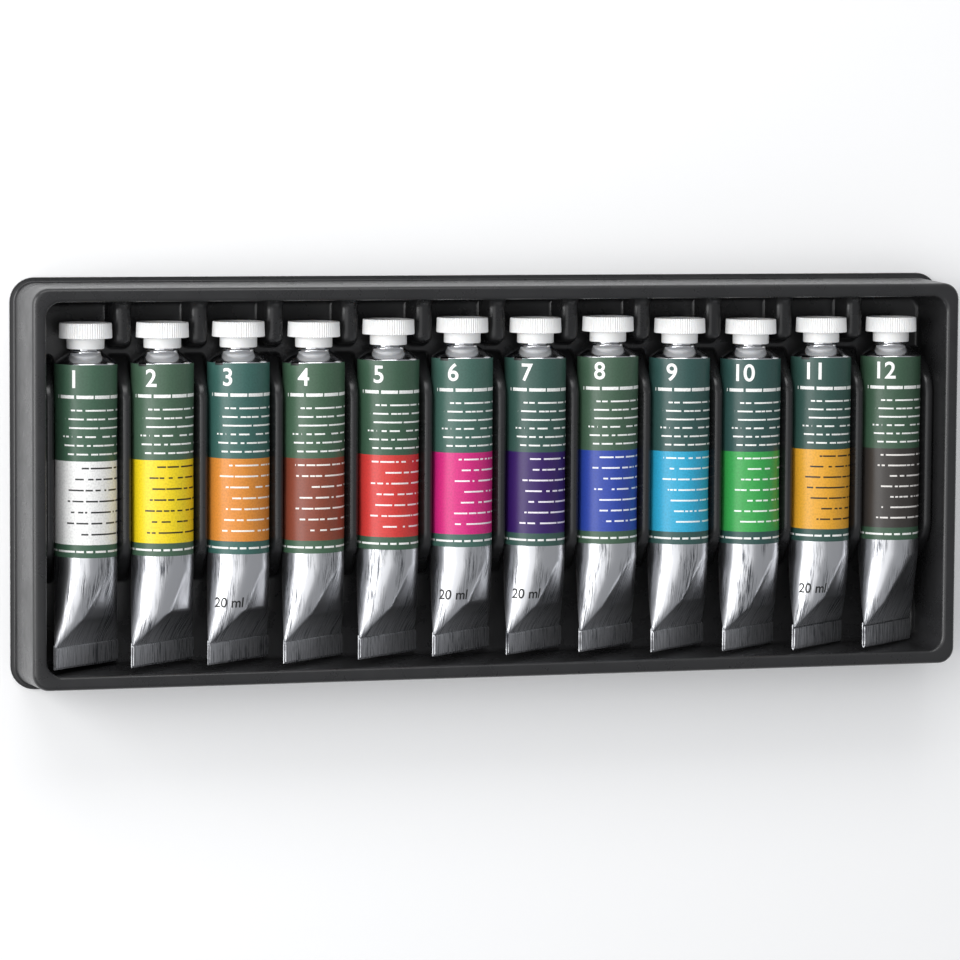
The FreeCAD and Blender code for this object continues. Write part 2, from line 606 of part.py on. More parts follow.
parts = [build_tray()]
for position in range(1, TUBE_COUNT + 1):
    parts.append(build_tube(position))
    parts.append(build_paint(position))
    parts.append(build_seal(position))
    parts.append(build_cap(position))
doc.recompute()

for item in doc.Objects:
    if "Invalid" in item.State or "Error" in item.State:
        raise RuntimeError("%s failed: %s" % (item.Label, item.State))
for part in parts:
    if part.Shape.isNull() or not part.Shape.isValid() or len(part.Shape.Solids) != 1:
        raise RuntimeError("%s has no single valid solid" % part.Label)

os.makedirs("parts", exist_ok=True)
for part in parts:
    part.Shape.exportStep("parts/%s.step" % part.Label)
    print(part.Label, "%.1f mm3" % part.Shape.Volume)
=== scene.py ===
import math

import bmesh
import bpy
from mathutils import Matrix, Vector, noise


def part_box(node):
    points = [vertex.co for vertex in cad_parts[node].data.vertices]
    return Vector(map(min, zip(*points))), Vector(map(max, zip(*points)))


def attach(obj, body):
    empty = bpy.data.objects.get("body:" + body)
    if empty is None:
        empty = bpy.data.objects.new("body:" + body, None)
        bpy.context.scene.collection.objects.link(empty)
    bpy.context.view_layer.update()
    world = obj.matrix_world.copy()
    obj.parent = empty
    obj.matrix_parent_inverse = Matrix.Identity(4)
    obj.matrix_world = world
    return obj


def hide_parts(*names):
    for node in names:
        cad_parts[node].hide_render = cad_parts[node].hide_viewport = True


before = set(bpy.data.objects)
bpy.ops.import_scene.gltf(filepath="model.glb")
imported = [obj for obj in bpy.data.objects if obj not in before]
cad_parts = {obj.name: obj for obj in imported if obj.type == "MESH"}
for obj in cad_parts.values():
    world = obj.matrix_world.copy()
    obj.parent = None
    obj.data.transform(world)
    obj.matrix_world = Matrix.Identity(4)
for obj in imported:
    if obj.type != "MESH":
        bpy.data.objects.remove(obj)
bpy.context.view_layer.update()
tubeCount = sum(name.startswith("tube_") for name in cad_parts)
print("frame loaded:", len(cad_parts), "nodes,", tubeCount, "tubes")

perMetre = 1000  # pieces are modelled in millimetres
cutReach = 1e-5  # how near a vertex counts as on a cutting plane, in millimetres
nearly = 1e-4  # how near two places count as one, in millimetres


def finishPiece(bm, name, material, body, nodes, sharpAngle=35):
    bmesh.ops.scale(bm, vec=Vector((1, 1, 1)) / perMetre, verts=bm.verts)
    mesh = bpy.data.meshes.new(name)
    bm.to_mesh(mesh)
    bm.free()
    for face in mesh.polygons:
        face.use_smooth = True
    mesh.set_sharp_from_angle(angle=math.radians(sharpAngle))
    mesh.materials.append(material)
    piece = bpy.data.objects.new(name, mesh)
    bpy.context.scene.collection.objects.link(piece)
    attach(piece, body)
    if nodes:
        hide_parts(*nodes)
    return piece


def clamp(value):
    return min(1, max(0, value))


def spaced(start, end, count):
    return [start + step / count * (end - start) for step in range(count + 1)]


def growEdges(bm, edges):
    # a new row of faces along open edges, with its far vertices and edges
    grown = bmesh.ops.extrude_edge_only(bm, edges=edges)["geom"]
    verts = {g for g in grown if isinstance(g, bmesh.types.BMVert)}
    return verts, [g for g in grown if isinstance(g, bmesh.types.BMEdge) and verts.issuperset(g.verts)]


def hexColour(code):
    linear = []
    for start in (0, 2, 4):
        part = int(code[start:start + 2], 16) / 255
        linear.append(part / 12.92 if part <= 0.04045 else ((part + 0.055) / 1.055) ** 2.4)
    return (*linear, 1.0)


def newMaterial(name):
    material = bpy.data.materials.new(name)
    material.use_nodes = True
    tree = material.node_tree
    return material, tree, tree.nodes["Principled BSDF"]


def setInputs(tree, node, inputs):
    for socket, value in inputs.items():
        if isinstance(value, bpy.types.NodeSocket):
            tree.links.new(value, node.inputs[socket])
        else:
            node.inputs[socket].default_value = value


def addNode(tree, kind, inputs=None, **settings):
    node = tree.nodes.new(kind)
    for key, value in settings.items():
        setattr(node, key, value)
    setInputs(tree, node, inputs or {})
    return node


def calculate(tree, operation, *values):
    return addNode(tree, "ShaderNodeMath", dict(enumerate(values)), operation=operation).outputs[0]


def mixColour(tree, share, first, second):
    return addNode(tree, "ShaderNodeMix", {0: share, 6: first, 7: second}, data_type="RGBA").outputs[2]


def mixNumber(tree, share, first, second):
    return addNode(tree, "ShaderNodeMix", {0: share, 2: first, 3: second}, data_type="FLOAT").outputs[0]


def mapRange(tree, value, low, high, first=0.0, last=1.0):
    # a value from low to high becomes one from first to last
    node = addNode(tree, "ShaderNodeMapRange", {"Value": value, "From Min": low, "From Max": high,
                                                "To Min": first, "To Max": last})
    return node.outputs["Result"]


def objectNoise(tree, size, detail, roughness=0.5):
    # spots of this size, in metres, fixed to the piece
    place = addNode(tree, "ShaderNodeTexCoord")
    node = addNode(tree, "ShaderNodeTexNoise", {"Vector": place.outputs["Object"], "Scale": 1 / size,
                                                "Detail": detail, "Roughness": roughness})
    return node.outputs["Fac"]


def wrapNoise(tree, vector, scale, detail, roughness=0.5):
    # spots on the unrolled wall of a tube, which is measured in millimetres
    node = addNode(tree, "ShaderNodeTexNoise", {"Vector": vector, "Scale": scale, "Detail": detail,
                                                "Roughness": roughness}, noise_dimensions="2D")
    return node.outputs["Fac"]


def addBump(tree, height, strength, depth):
    node = addNode(tree, "ShaderNodeBump", {"Height": height, "Strength": strength, "Distance": depth})
    return node.outputs["Normal"]


# the formed tray, with its dividing ribs and the lugs between the caps
trayForm = {
    "length": 295.0, "width": 120.0, "height": 25.0, "sheet": 0.75,
    "cornerOuter": 5.0, "cornerWell": 4.5, "cornerSteps": 10,
    "draft": 2.0, "rimLand": 4.2, "rimRound": 1.4, "rimOutset": 0.05, "lipRound": 1.25,
    "flangeReach": 2.37, "flangeBend": ((1.35, 0.75), (1.05, 0.9), (0.88, 1.25)),
    "skirtLevels": (8, 16, 22.5), "wallLevels": (18, 11),
    "floor": 3.2, "floorRound": 1.6, "troughDrop": 1.0, "troughEdge": -24.7, "troughSlope": 0.8,
    "footRound": 1.2, "holeEndInset": 0.7, "holeSideInset": 0.5, "sharpAngle": 50,
}
ribForm = {
    "foot": 6.2, "crest": 2.85, "top": 17.0, "start": -29.0, "end": 38.6, "slopes": (9.6, 9.6),
    "round": 1.2, "roundSteps": 4, "endRound": 4.0, "endSteps": 5, "wallGap": 0.25,
}
lugForm = {
    "foot": 6.7, "crest": 5.4, "top": 12.0, "start": 41.6, "behindWall": 6.0, "slopes": (0.7, 0),
    "round": 2.0, "roundSteps": 4, "endRound": 0, "wallGap": 0.15,
    "curveGap": 0.3, "curve": 3.0, "curveSteps": 5,
}


def trayProfile(form):
    # (outset from the rim outline, height, corner radius), from the flange to the floor
    lean = math.tan(math.radians(form["draft"]))
    top, land, floor = form["height"], form["rimLand"], form["floor"]

    def onArc(middle, level, radius, turn):
        angle = math.radians(turn)
        return middle + radius * math.cos(angle), level + radius * math.sin(angle)

    outside = [(form["flangeReach"], form["sheet"]), *form["flangeBend"]]
    outside += [((top - level) * lean, level) for level in form["skirtLevels"]]
    r = form["rimRound"]
    outside += [onArc(form["rimOutset"] - r, top - r, r, turn) for turn in range(0, 91, 15)]
    r = form["lipRound"]
    inside = [onArc(r - land, top - r, r, turn) for turn in range(90, 181, 15)]
    r = form["floorRound"]
    inside += [(-land - (top - level) * lean, level) for level in (*form["wallLevels"], floor + r)]
    wall = land + (top - floor - r) * lean
    inside += [onArc(-wall - r, floor + r, r, -turn) for turn in (22, 45, 67, 90)]
    steps = [(outset, height, form["cornerOuter"] + outset) for outset, height in outside]
    steps += [(outset, height, form["cornerWell"] + land + outset) for outset, height in inside]
    return steps


def ringPlace(form, step, turn, sideX, sideY):
    outset, height, corner = step
    x = sideX * (form["length"] / 2 + outset - corner) + corner * math.cos(turn)
    y = sideY * (form["width"] / 2 + outset - corner) + corner * math.sin(turn)
    return Vector((x, y, height))


def roundEdges(bm, edges, radius, segments):
    bmesh.ops.bevel(bm, geom=list(edges), offset=radius, offset_type="OFFSET", segments=segments,
                    profile=0.5, affect="EDGES", material=-1, clamp_overlap=True)


def formBump(bm, x, form, floor, footRound):
    # a hollow bump of the sheet: a tapered block with rounded edges and a flared foot
    start, end, foot = form["start"], form["end"], form["foot"]
    low = floor + footRound
    before = set(bm.verts)
    bmesh.ops.create_cube(bm, size=1)
    block = [v for v in bm.verts if v not in before]
    for v in block:
        isTop = v.co.z > 0
        half = form["crest"] / 2 if isTop else foot / 2
        slopes = form["slopes"] if isTop else (0, 0)
        v.co.x = x + math.copysign(half, v.co.x)
        v.co.y = end - slopes[1] if v.co.y > 0 else start + slopes[0]
        v.co.z = form["top"] if isTop else low
    faces = {f for v in block for f in v.link_faces}
    under = [f for f in faces if all(abs(v.co.z - low) < nearly for v in f.verts)]
    bmesh.ops.delete(bm, geom=under, context="FACES_ONLY")
    if form["endRound"]:
        ends = {e for v in block for e in v.link_edges if min(u.co.z for u in e.verts) > low + nearly
                and abs(e.verts[0].co.y - e.verts[1].co.y) < nearly}
        roundEdges(bm, ends, form["endRound"], form["endSteps"])
    fresh = [v for v in bm.verts if v not in before]
    edges = {e for v in fresh for e in v.link_edges}
    sides = [e for e in edges if max(v.co.z for v in e.verts) > low + nearly]
    if form["endRound"]:
        # the edges across the rounded ends are smooth already
        sides = [e for e in sides if abs(e.verts[0].co.x - e.verts[1].co.x) < form["crest"] * 0.6]
    roundEdges(bm, sides, form["round"], form["roundSteps"])
    rim = [e for e in bm.edges if e.is_boundary and all(abs(v.co.z - low) < nearly for v in e.verts)
           and abs(e.verts[0].co.x - x) < foot and start - 1 < e.verts[0].co.y < end + 1]
    sink = 0.02  # the flare ends just under the floor
    reached = 0
    for turn in (30, 60, 90):
        verts, rim = growEdges(bm, rim)
        reach = footRound * (1 - math.cos(math.radians(turn)))
        for v in verts:
            spine = Vector((x, min(max(v.co.y, start + foot / 2), end - foot / 2), v.co.z))
            v.co += (v.co - spine).normalized() * (reach - reached)
            v.co.z = low - footRound * math.sin(math.radians(turn)) - sink
        reached = reach
    return [v for v in bm.verts if v not in before]


def cutAway(bm, verts, place, normal, clear=True):
    geom = {g for v in verts for g in (v, *v.link_edges, *v.link_faces)}
    cut = bmesh.ops.bisect_plane(bm, geom=list(geom), dist=cutReach, plane_co=place, plane_no=normal,
                                 clear_outer=clear)
    fresh = [g for g in cut["geom_cut"] if isinstance(g, bmesh.types.BMVert)]
    return [v for v in verts if v.is_valid] + fresh


def sweepWalls(bm, form):
    # rings of the profile round the rim outline, closed by the floor
    steps = trayProfile(form)
    count = form["cornerSteps"]
    turnLayer = bm.verts.layers.float.new("turn")
    sideLayer = bm.verts.layers.float_vector.new("side")
    ring = bmesh.ops.create_circle(bm, cap_ends=False, radius=1, segments=4 * count)["verts"]
    for number, v in enumerate(ring):
        quadrant, place = divmod(number, count)
        v[turnLayer] = math.radians(90 * (quadrant + place / (count - 1)))
        v[sideLayer] = Vector(((1, -1, -1, 1)[quadrant], (1, 1, -1, -1)[quadrant], 0))
        v.co = ringPlace(form, steps[0], v[turnLayer], v[sideLayer].x, v[sideLayer].y)
    edges = list(bm.edges)
    for step in steps[1:]:
        verts, edges = growEdges(bm, edges)
        for v in verts:
            v.co = ringPlace(form, step, v[turnLayer], v[sideLayer].x, v[sideLayer].y)
    floorFace = bmesh.ops.contextual_create(bm, geom=edges)["faces"][0]
    bmesh.ops.recalc_face_normals(bm, faces=bm.faces[:])
    if floorFace.normal.z < 0:
        bmesh.ops.reverse_faces(bm, faces=bm.faces[:])


def openFloor(bm, form, gapPlaces):
    # the floor is open under each rib and lug
    def onFloor(face):
        return abs(face.calc_center_median().z - form["floor"]) < nearly

    inset = form["holeEndInset"]
    rows = [form["troughEdge"] - form["troughSlope"], form["troughEdge"] + form["troughSlope"]]
    rows += [ribForm["start"] + inset, ribForm["end"] - inset, lugForm["start"] + inset]
    half = ribForm["foot"] / 2 - form["holeSideInset"]
    cuts = [(y, (0, 1, 0)) for y in rows]
    cuts += [(x + side * half, (1, 0, 0)) for x in gapPlaces for side in (-1, 1)]
    for place, normal in cuts:
        geom = {g for f in bm.faces if onFloor(f) for g in (f, *f.edges, *f.verts)}
        bmesh.ops.bisect_plane(bm, geom=list(geom), dist=cutReach, plane_co=Vector(normal) * place,
                               plane_no=normal)
    holes = []
    for f in bm.faces:
        middle = f.calc_center_median()
        inGap = min(abs(middle.x - x) for x in gapPlaces) < half
        underRib = ribForm["start"] < middle.y < ribForm["end"]
        if onFloor(f) and inGap and (underRib or middle.y > lugForm["start"]):
            holes.append(f)
    bmesh.ops.delete(bm, geom=holes, context="FACES_ONLY")


def buildTray(form, gapPlaces, material):
    bm = bmesh.new()
    sweepWalls(bm, form)
    openFloor(bm, form, gapPlaces)
    wallY = form["width"] / 2 - form["rimLand"]
    wallX = form["length"] / 2 - form["rimLand"]
    for v in bm.verts:
        inTrough = abs(v.co.x) < wallX and -wallY < v.co.y < form["troughEdge"]
        if inTrough and v.co.z < form["floor"] + form["floorRound"] + nearly:
            v.co.z -= form["troughDrop"]

    pitch = gapPlaces[1] - gapPlaces[0]
    for x in (gapPlaces[0] - pitch, *gapPlaces, gapPlaces[-1] + pitch):
        rib = formBump(bm, x, ribForm, form["floor"], form["footRound"])
        if x not in gapPlaces:
            side = math.copysign(1, x)
            cutAway(bm, rib, (side * (wallX - ribForm["wallGap"]), 0, 0), (side, 0, 0))

    wholeLug = dict(lugForm, end=wallY + lugForm["behindWall"])
    curve = lugForm["curve"]
    curveEnd = wallY - lugForm["curveGap"]
    for x in gapPlaces:
        lug = formBump(bm, x, wholeLug, form["floor"], form["footRound"])
        lug = cutAway(bm, lug, (0, wallY - lugForm["wallGap"], 0), (0, 1, 0))
        # the top runs up into the wall in a hollow curve
        for y in spaced(curveEnd, curveEnd - curve, lugForm["curveSteps"]):
            lug = cutAway(bm, lug, (0, y, 0), (0, 1, 0), False)
        for v in lug:
            climb = clamp((v.co.y - curveEnd) / curve + 1)
            high = clamp((v.co.z - lugForm["top"]) / lugForm["round"] + 1)
            v.co.z += high * curve * (1 - math.sqrt(1 - climb ** 2))
    bmesh.ops.solidify(bm, geom=bm.faces[:], thickness=form["sheet"])
    return finishPiece(bm, "trayShell", material, "tray", ["tray"], form["sharpAngle"])


# black polystyrene sheet, vacuum formed: deep black with a wet gloss, faint orange peel and rubbed spots
sheetLook = {
    "dark": "202021", "light": "2b2b2c", "ior": 1.57, "specular": 0.42,
    "rubSize": 0.012, "rubDetail": 6.0, "rubRoughness": 0.65, "rubRange": (0.35, 0.75),
    "gloss": (0.24, 0.38),
    "peelSize": 0.0035, "peelDetail": 2.0, "peelStrength": 0.08, "peelDepth": 0.0002,
}


def formedSheet(look):
    material, tree, shader = newMaterial("blackPolystyreneSheet")
    peel = objectNoise(tree, look["peelSize"], look["peelDetail"])
    rubs = objectNoise(tree, look["rubSize"], look["rubDetail"], look["rubRoughness"])
    setInputs(tree, shader, {
        "Base Color": mixColour(tree, rubs, hexColour(look["dark"]), hexColour(look["light"])),
        "Roughness": mapRange(tree, rubs, *look["rubRange"], *look["gloss"]),
        "Normal": addBump(tree, peel, look["peelStrength"], look["peelDepth"]),
        "IOR": look["ior"],
        "Specular IOR Level": look["specular"],
    })
    return material


# the tubes, measured along their axis from the end of the fold
tubeForm = {
    "radius": 9.5, "segments": 96, "foldTop": 7.0, "taperTop": 29.0, "shoulder": 91.9, "shoulderRound": 0.9,
    "tailRows": 14, "taperRows": 16, "bodyRows": 21, "threadRows": 36, "sharpAngle": 32,
    "foldHalf": 14.55, "foldTilt": 39.0, "webHalf": 0.3, "sag": 0.1,
    "foldLayer": 0.3, "foldStep": 0.4, "foldSweep": 28,
    "foldWave": 0.12, "foldWaveWidth": 6, "foldWaveLength": 9, "foldShift": 3.1,
    "foldEdgeWave": 0.1, "foldEdgeWidth": 9, "foldEdgeRow": 5.0,
    "dent": 0.16, "dentBias": 0.35, "dentWidth": 7, "dentLength": 15, "dentShift": 9.7,
    "stiffTop": 4, "stiffReach": 20, "stiffTail": 1.2,
    "collar": 94.5, "collarRadius": 5.0,
    "collarCurve": ((-0.35, 0.75), (-0.1, 0.25), (0.1, 0.05), (0.35, 0), (0.55, -0.12), (0.65, -0.45)),
    "neckRadius": 4.25, "neckStart": 0.8, "threadDepth": 0.38, "threadPitch": 1.25, "threadStart": 1.2,
    "threadEnd": 0.7, "threadFade": 0.6, "threadSlope": 2.6,
    "nozzleTop": 100.55, "lipHeight": 0.25, "lipCurve": ((-0.08, -0.1), (0, -0.3)),
    "boreRadius": 2.5, "boreDepth": 5.0, "boreEdge": 0.2,
}
# paint colour, label green, ink, crease of the tail (place, flatness there) and label slant of each tube
tubeFinish = [
    ("f3f3f1", "40604c", "2a2a2a", (15.0, 0.5), 0.010),
    ("f0d41a", "44604c", "2c2810", (16.5, 0.3), -0.006),
    ("d98a35", "37615a", "f6f2ea", (16.5, 0.32), 0.004),
    ("86422f", "42604a", "f2ece6", (15.0, 0.5), -0.012),
    ("d03a36", "3b5a46", "f8eeee", (15.5, 0.42), 0.006),
    ("d4267e", "41645a", "faeef4", (16.0, 0.36), -0.004),
    ("331560", "36564e", "efeaf4", (15.0, 0.45), 0.008),
    ("2a44a2", "425e4a", "eef0fa", (14.0, 0.58), -0.008),
    ("2ca6cc", "325450", "f0fafc", (15.5, 0.45), 0.003),
    ("36a24c", "2e504c", "f0faf0", (13.5, 0.5), -0.005),
    ("e4a52e", "305049", "2c2410", (15.5, 0.42), 0.007),
    ("36322f", "3b5844", "e6e2de", (14.0, 0.6), 0.0),
]
markedTubes = (3, 6, 7, 11)
registerTubes = (2, 3, 4, 6, 7, 11)


def tubePlace(number):
    low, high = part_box("cap_%02d" % number)
    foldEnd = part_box("tube_%02d" % number)[0][1]
    return Vector(((low[0] + high[0]) / 2, foldEnd, (low[2] + high[2]) / 2)) * perMetre


def tailPoint(form, share, flat):
    # a point of the flattened section: half circles of shrinking radius joined by growing straights
    radius = form["radius"] * (1 - flat) + form["webHalf"] * flat
    straight = (form["foldHalf"] - form["webHalf"]) * flat
    quarter = math.pi / 2 * radius + straight
    turned = (share - form["foldTilt"] / 360 + 0.5) % 1 - 0.5
    run = abs(turned) * 4
    front = run <= 1
    length = (run if front else 2 - run) * quarter
    if length < straight:
        # the flat sides sink a little between their creases
        sag = form["sag"] * straight * math.sqrt(1 - flat) * (1 - (length / straight) ** 2)
        wide, thick = length, radius - sag
    else:
        angle = (length - straight) / radius
        wide, thick = straight + radius * math.sin(angle), radius * math.cos(angle)
    wide = math.copysign(wide, turned)
    thick = thick if front else -thick
    tilt = math.radians(form["foldTilt"])
    return wide * math.cos(tilt) + thick * math.sin(tilt), thick * math.cos(tilt) - wide * math.sin(tilt)


def flatness(form, number, along):
    # two straight runs that meet in a crease across the tail
    kinkPlace, kinkFlat = tubeFinish[number - 1][3]
    if along > kinkPlace:
        return kinkFlat * max(0, form["taperTop"] - along) / (form["taperTop"] - kinkPlace)
    return 1 - (1 - kinkFlat) * max(0, along - form["foldTop"]) / (kinkPlace - form["foldTop"])


def bodyPoint(form, number, share, along):
    # the thin wall from the fold to the shoulder, with the small dents of handling
    flat = flatness(form, number, along)
    x, z = tailPoint(form, share, flat)
    soft = max(0, 1 - flat * form["stiffTail"])
    soft *= clamp((form["shoulder"] - form["stiffTop"] - along) / form["stiffReach"])
    width = form["dentWidth"]
    spot = (x / width, along / form["dentLength"], z / width + form["dentShift"] * number)
    ripple = noise.noise(Vector(spot)) - form["dentBias"]
    swell = 1 + form["dent"] * soft * ripple / form["radius"]
    return Vector((x * swell, along, z * swell))


def tubeSections(form, number):
    # (distance from the fold end, radius), with no radius along the thin wall
    kink = tubeFinish[number - 1][3][0]
    r = form["shoulderRound"]
    wall = spaced(form["foldTop"], kink, form["tailRows"])
    wall += spaced(kink, form["taperTop"], form["taperRows"])[1:]
    wall += spaced(form["taperTop"], form["shoulder"] - r, form["bodyRows"])[1:]
    stations = [(along, None) for along in wall]
    slope = math.atan2(form["collar"] - form["shoulder"], form["radius"] - form["collarRadius"])
    for angle in spaced(0, math.pi / 2 - slope, 4)[1:]:
        along = form["shoulder"] - r + r * math.sin(angle)
        stations.append((along, form["radius"] - r + r * math.cos(angle)))
    for rise, step in form["collarCurve"]:
        stations.append((form["collar"] + rise, form["collarRadius"] + step))
    top, bore = form["nozzleTop"], form["boreRadius"]
    neck = spaced(form["collar"] + form["neckStart"], top - form["lipHeight"], form["threadRows"])
    stations += [(along, form["neckRadius"]) for along in neck]
    for rise, step in form["lipCurve"]:
        stations.append((top + rise, form["neckRadius"] - form["threadDepth"] + step))
    edge = form["boreEdge"]
    stations += [(top, bore + edge), (top - edge, bore), (top - form["boreDepth"], bore)]
    return stations


def threadRadius(form, share, along):
    fromStart = along - form["collar"] - form["threadStart"]
    toEnd = form["nozzleTop"] - form["threadEnd"] - along
    fade = clamp(fromStart / form["threadFade"]) * clamp(toEnd / form["threadFade"])
    ridge = (along / form["threadPitch"] + share) % 1
    height = fade * min(1, form["threadSlope"] * (0.5 - abs(ridge - 0.5)))
    return form["neckRadius"] - form["threadDepth"] * (1 - height)


def buildTube(number, form, material):
    bm = bmesh.new()
    count = form["segments"]
    shareLayer = bm.verts.layers.float.new("share")
    alongLayer = bm.verts.layers.float.new("along")
    uv = bm.loops.layers.uv.new("wrap")
    place = tubePlace(number)
    stations = tubeSections(form, number)
    ring = bmesh.ops.create_circle(bm, cap_ends=False, radius=1, segments=count)["verts"]
    for step, v in enumerate(ring):
        v[shareLayer] = (step + 0.5) / count - 0.5

    def setStation(verts, station):
        along, radius = station
        for v in verts:
            share = v[shareLayer]
            angle = 2 * math.pi * share
            if radius is None:
                spot = bodyPoint(form, number, share, along)
            else:
                size = threadRadius(form, share, along) if radius == form["neckRadius"] else radius
                spot = Vector((size * math.sin(angle), along, size * math.cos(angle)))
            v.co = place + spot
            v[alongLayer] = along

    setStation(ring, stations[0])
    edges = list(bm.edges)
    for station in stations[1:]:
        verts, edges = growEdges(bm, edges)
        setStation(verts, station)
    bmesh.ops.contextual_create(bm, geom=edges)
    bmesh.ops.recalc_face_normals(bm, faces=bm.faces[:])

    girth = 2 * math.pi * form["radius"]
    for face in bm.faces:
        shares = [v[shareLayer] for v in face.verts]
        wraps = max(shares) - min(shares) > 0.5
        for loop in face.loops:
            share = loop.vert[shareLayer]
            share += 1 if wraps and share < 0 else 0
            loop[uv].uv = (share * girth, loop.vert[alongLayer])
    addFold(bm, form, place, number, uv)
    node = "tube_%02d" % number
    return finishPiece(bm, "tubeBody_%02d" % number, material, node, [node],
                       form["sharpAngle"])


def addFold(bm, form, place, number, uv):
    # the flattened end rolled over twice: a ribbon in three layers, swept across the width
    step = form["foldStep"]
    top = form["foldTop"]
    down = [(-step, top + 0.6), (-step, top - 2), (-step, 0.6)]
    lowBend = [(-0.8 * step, 0.25), (-0.5 * step, 0.15), (-0.2 * step, 0.25)]
    up = [(0, 0.6), (0, top - 0.9)]
    highBend = [(0.2 * step, top - 0.55), (0.5 * step, top - 0.45), (0.8 * step, top - 0.55)]
    downAgain = [(step, top - 0.9), (step, 0.9)]
    path = down + lowBend + up + highBend + downAgain
    tilt = math.radians(form["foldTilt"])
    across = Vector((math.cos(tilt), 0, -math.sin(tilt)))
    through = Vector((math.sin(tilt), 0, math.cos(tilt)))
    half = form["foldHalf"]
    before = set(bm.faces)
    corner = place - across * half
    verts = [bm.verts.new(corner + through * depth + Vector((0, along, 0))) for depth, along in path]
    edges = [bm.edges.new(pair) for pair in zip(verts, verts[1:])]
    for _ in range(form["foldSweep"]):
        verts, edges = growEdges(bm, edges)
        bmesh.ops.translate(bm, vec=across * (2 * half / form["foldSweep"]), verts=list(verts))
    strip = [f for f in bm.faces if f not in before]
    for v in {v for f in strip for v in f.verts}:
        local = v.co - place
        wide = local.dot(across)
        spot = (wide / form["foldWaveWidth"], local.y / form["foldWaveLength"], form["foldShift"] * number)
        edgeSpot = (wide / form["foldEdgeWidth"], form["foldEdgeRow"], number)
        edgeWave = form["foldEdgeWave"] * noise.noise(Vector(edgeSpot))
        v.co += through * form["foldWave"] * noise.noise(Vector(spot)) + Vector((0, edgeWave, 0))
    bmesh.ops.recalc_face_normals(bm, faces=strip)
    bmesh.ops.solidify(bm, geom=strip, thickness=form["foldLayer"])
    quarterGirth = math.pi / 2 * form["radius"]
    for face in (f for f in bm.faces if f not in before):
        for loop in face.loops:
            local = loop.vert.co - place
            loop[uv].uv = (local.dot(across) / half * quarterGirth, local.y)


# the label: bands of lacquer with thin rules, as long and as dense as lines of small print
labelForm = {
    "top": 91.25, "greenEnd": 62.3, "colourEnd": 37.3, "bottom": 33.6, "rampLength": 100.0,
    "rule": "f4f5f2", "dirt": "101010", "dirtScale": 1.6, "dirtDetail": 4.0, "dirtRange": (0.4, 0.7),
    "dirtShare": 0.16, "wordScale": 0.7, "wordGap": 0.36,
    "mark": "141414", "markPlace": (-8.6, 91.15), "markHalf": (1.5, 0.55),
}
ruleForm = {
    "title": {"bottom": 80.4, "pitch": 2.6, "count": 1, "thick": 1.0, "left": -11.5, "right": 13.5,
              "ragged": 0.0, "seed": 0.0},
    "story": {"bottom": 63.3, "pitch": 2.62, "count": 6, "thick": 0.5, "left": -10.3, "right": 13.5,
              "ragged": 4.0, "seed": 10.0},
    "strip": {"bottom": 34.5, "pitch": 1.9, "count": 1, "thick": 0.6, "left": -30.0, "right": 30.0,
              "ragged": 0.0, "seed": 20.0},
    "names": {"bottom": 39.0, "pitch": 3.3, "count": 7, "thick": 0.5, "left": -8.5, "right": 14.5,
              "ragged": 6.0, "seed": 30.0, "seedStep": 7},
}
# soft aluminium, drawn along its length: pale silver with patches of fine dark marks, dull where crushed
metalLook = {
    "bright": "d2d3d6", "worn": "56585d", "tubeShift": (5.7, 3.1),
    "streakScale": (2.4, 0.11, 1), "streakDetail": 4.0, "streakRoughness": 0.7, "streakRange": (0.45, 0.6),
    "patchScale": (0.16, 0.05, 1), "patchDetail": 2.0, "patchRange": (0.44, 0.6),
    "crushRange": (17.0, 9.0), "crushWear": 0.6, "crushRough": 0.36,
    "rough": (0.3, 0.5), "shoulderRough": 0.16, "labelRough": 0.4,
    "streakBump": 0.2, "labelBump": 0.05, "bumpDepth": 0.0001,
}


def ruledLines(tree, around, along, rule, seed):
    bottom, pitch, height = rule["bottom"], rule["pitch"], rule["count"] * rule["pitch"]
    row = calculate(tree, "DIVIDE", calculate(tree, "SUBTRACT", along, bottom), pitch)
    inRow = calculate(tree, "FRACT", row)
    lineSeed = calculate(tree, "ADD", calculate(tree, "FLOOR", row), seed)
    chance = addNode(tree, "ShaderNodeTexWhiteNoise", {"W": lineSeed}, noise_dimensions="1D")
    start = calculate(tree, "MULTIPLY_ADD", chance.outputs["Value"], rule["ragged"], rule["left"])
    spot = addNode(tree, "ShaderNodeCombineXYZ", {"X": around, "Y": lineSeed})
    words = wrapNoise(tree, spot.outputs[0], labelForm["wordScale"], 0.0)
    mask = calculate(tree, "GREATER_THAN", words, labelForm["wordGap"])
    limits = (
        calculate(tree, "COMPARE", inRow, 0.5, rule["thick"] / pitch / 2),
        calculate(tree, "COMPARE", along, bottom + height / 2, height / 2),
        calculate(tree, "GREATER_THAN", around, start),
        calculate(tree, "LESS_THAN", around, rule["right"]),
    )
    for limit in limits:
        mask = calculate(tree, "MULTIPLY", mask, limit)
    return mask


